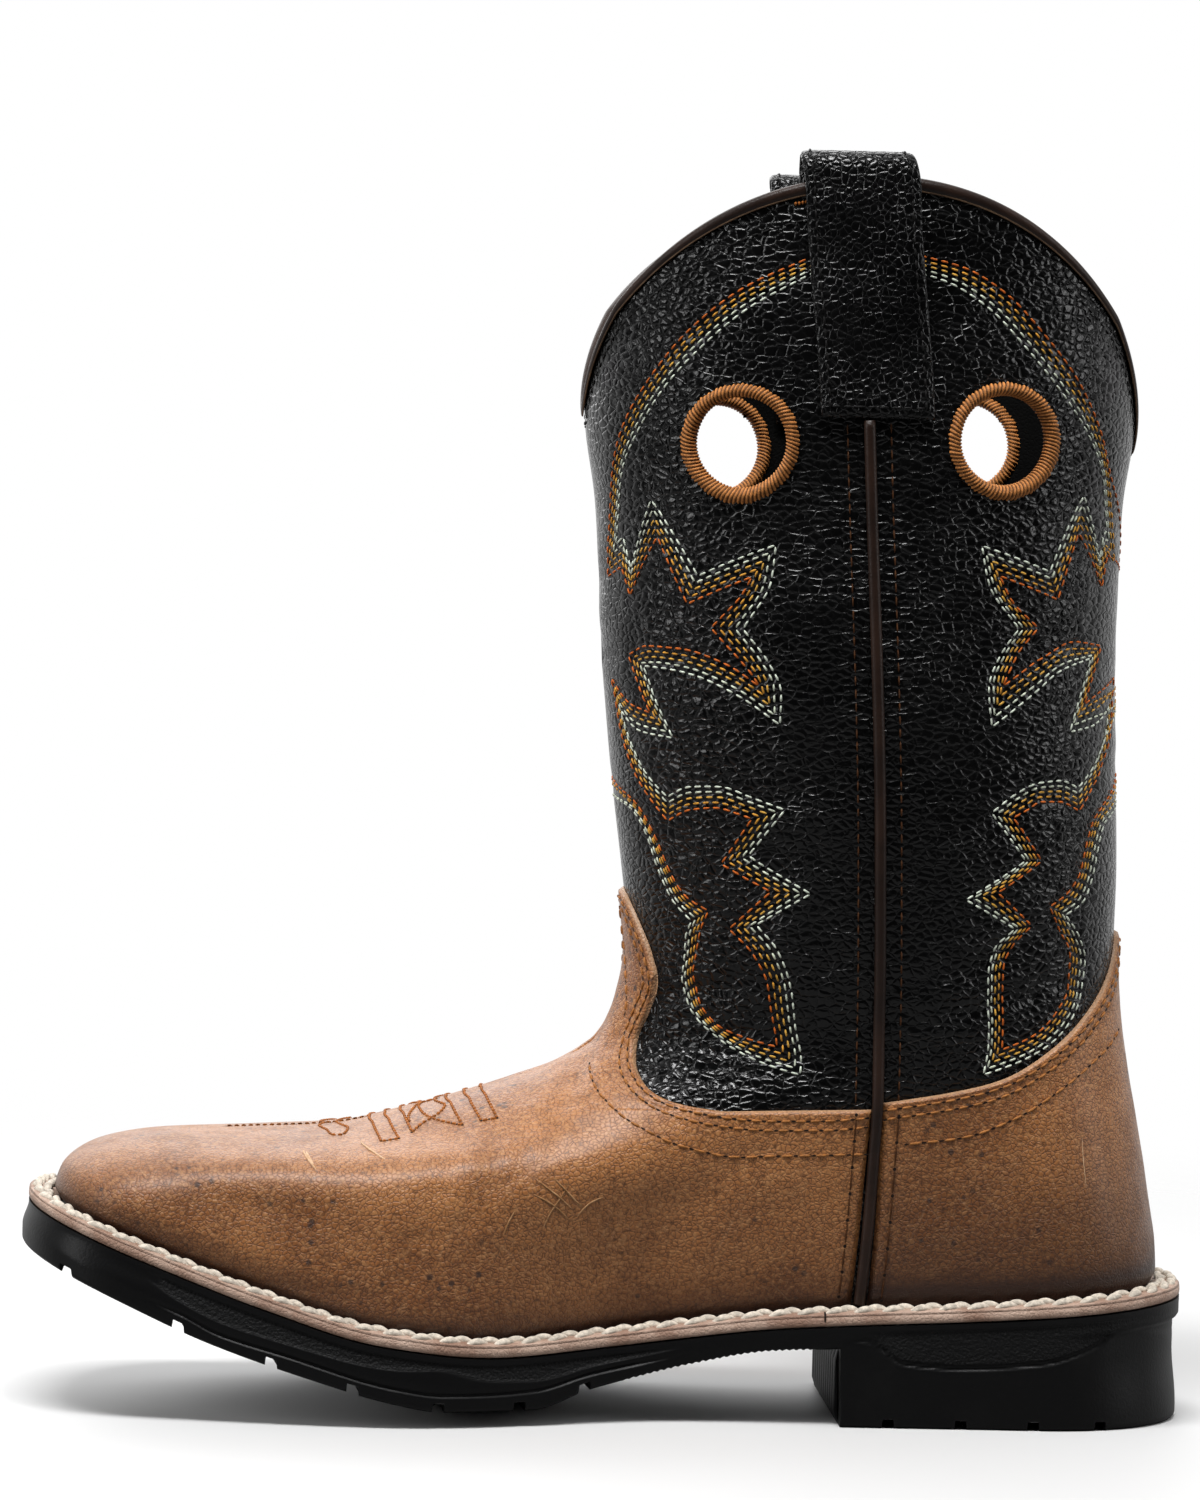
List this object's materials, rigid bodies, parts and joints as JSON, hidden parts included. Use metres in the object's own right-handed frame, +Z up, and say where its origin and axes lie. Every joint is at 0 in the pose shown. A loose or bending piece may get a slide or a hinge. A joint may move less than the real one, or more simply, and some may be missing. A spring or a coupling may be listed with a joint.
{
  "type": "western boot",
  "caption": "Right western boot with a scalloped pull-on shaft, vamp and counter overlays, pull straps, finger holes, stitched welt and lugged moulded outsole with a low heel.",
  "frame": {"origin": "on the floor under the middle of the boot's bounding box", "axes": "+Z up; the toe points toward -X and the heel toward +X; the inner (medial) side faces -Y and the outer side faces +Y"},
  "size_m": [0.3069, 0.1131, 0.3305],
  "materials": {
    "black_leather": "tumbled, semi-gloss",
    "strap_leather": "coarse grained, semi-gloss",
    "brown_leather": "distressed, burnished",
    "edge_leather": "smooth, matte",
    "brown_thread": "satin thread",
    "welt_leather": "raw, matte",
    "black_rubber": "moulded, fine texture",
    "insole_leather": "smooth, matte"
  },
  "bodies": {
    "root": {"upper": "black_leather", "vamp": "brown_leather", "counter": "brown_leather", "piping_medial": "edge_leather", "piping_lateral": "edge_leather", "collar_binding": "edge_leather", "pull_strap_medial": "strap_leather", "pull_strap_lateral": "strap_leather", "hole_ring_front_medial": "brown_thread", "hole_ring_rear_medial": "brown_thread", "hole_ring_front_lateral": "brown_thread", "hole_ring_rear_lateral": "brown_thread", "welt": "welt_leather", "outsole": "black_rubber", "insole": "insole_leather"}
  },
  "joints": []
}
